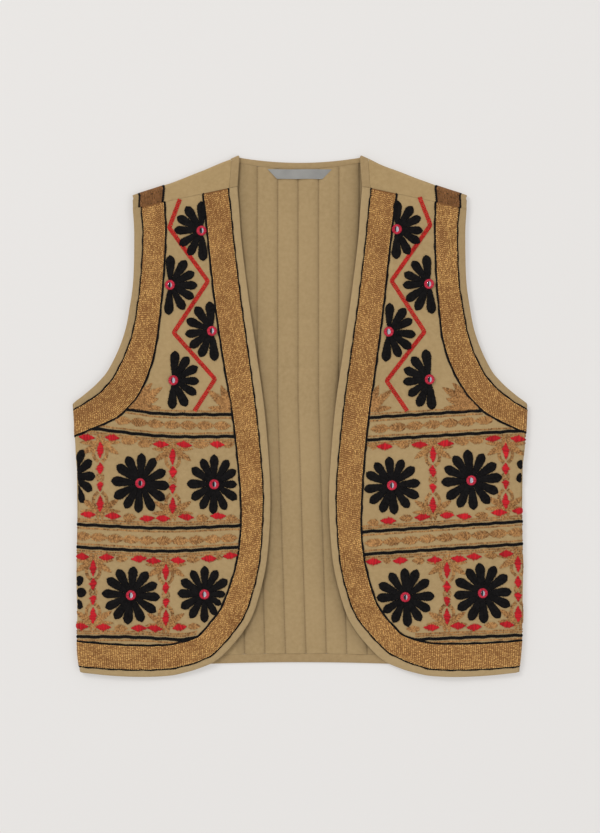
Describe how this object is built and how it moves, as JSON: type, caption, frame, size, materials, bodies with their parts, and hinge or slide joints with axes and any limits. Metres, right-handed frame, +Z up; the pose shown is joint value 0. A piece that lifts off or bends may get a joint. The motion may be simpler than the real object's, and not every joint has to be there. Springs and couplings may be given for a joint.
{
  "type": "embroidered waistcoat",
  "caption": "Open-fronted sleeveless waistcoat laid flat, quilted inside, with gold stitched bands and raised black flowers.",
  "frame": {"origin": "on the surface that it lies on, below the middle of the laid garment's box", "axes": "+Z up out of the fronts, +Y from the hem to the neck, +X to the wearer's left"},
  "size_m": [0.5014, 0.5737, 0.0095],
  "materials": {
    "shell": "plain woven khaki cotton, matt",
    "lining": "fine khaki cotton lining, quilted in channels, matt",
    "binding": "folded strip of the same khaki cotton, matt",
    "gold_thread": "rows of golden brown chain stitch, slight sheen",
    "dark_gold_thread": "rows of brown chain stitch, slight sheen",
    "black_thread": "thick black woollen stitches, matt",
    "red_thread": "red cotton stitches, slight sheen",
    "mirror": "small round mirrors",
    "label_satin": "silver grey woven satin, blank"
  },
  "bodies": {
    "root": {"back": "lining", "front_right": "shell", "front_left": "shell", "binding_front_right": "binding", "binding_armhole_front_right": "binding", "binding_armhole_back_right": "binding", "binding_front_left": "binding", "binding_armhole_front_left": "binding", "binding_armhole_back_left": "binding", "binding_neck": "binding", "binding_hem": "binding", "band_edge_right": "gold_thread", "band_armhole_right": "gold_thread", "band_shoulder_right": "dark_gold_thread", "band_edge_left": "gold_thread", "band_armhole_left": "gold_thread", "band_shoulder_left": "dark_gold_thread", "flower_right_tier_1_outer": "black_thread", "flower_right_tier_1_inner": "black_thread", "flower_right_tier_2_outer": "black_thread", "flower_right_tier_2_inner": "black_thread", "flower_right_chest_1": "black_thread", "flower_right_chest_2": "black_thread", "flower_right_chest_3": "black_thread", "flower_right_chest_4": "black_thread", "flower_right_tier_1_edge_petal_1": "black_thread", "flower_right_tier_1_edge_petal_2": "black_thread", "flower_right_tier_1_edge_petal_3": "black_thread", "flower_right_tier_1_edge_petal_4": "black_thread", "flower_right_tier_1_edge_petal_5": "black_thread", "flower_right_tier_2_edge_petal_1": "black_thread", "flower_right_tier_2_edge_petal_2": "black_thread", "flower_left_tier_1_outer": "black_thread", "flower_left_tier_1_inner": "black_thread", "flower_left_tier_2_outer": "black_thread", "flower_left_tier_2_inner": "black_thread", "flower_left_chest_1": "black_thread", "flower_left_chest_2": "black_thread", "flower_left_chest_3": "black_thread", "flower_left_chest_4": "black_thread", "flower_left_tier_1_edge_petal_1": "black_thread", "label": "label_satin"}
  },
  "joints": []
}
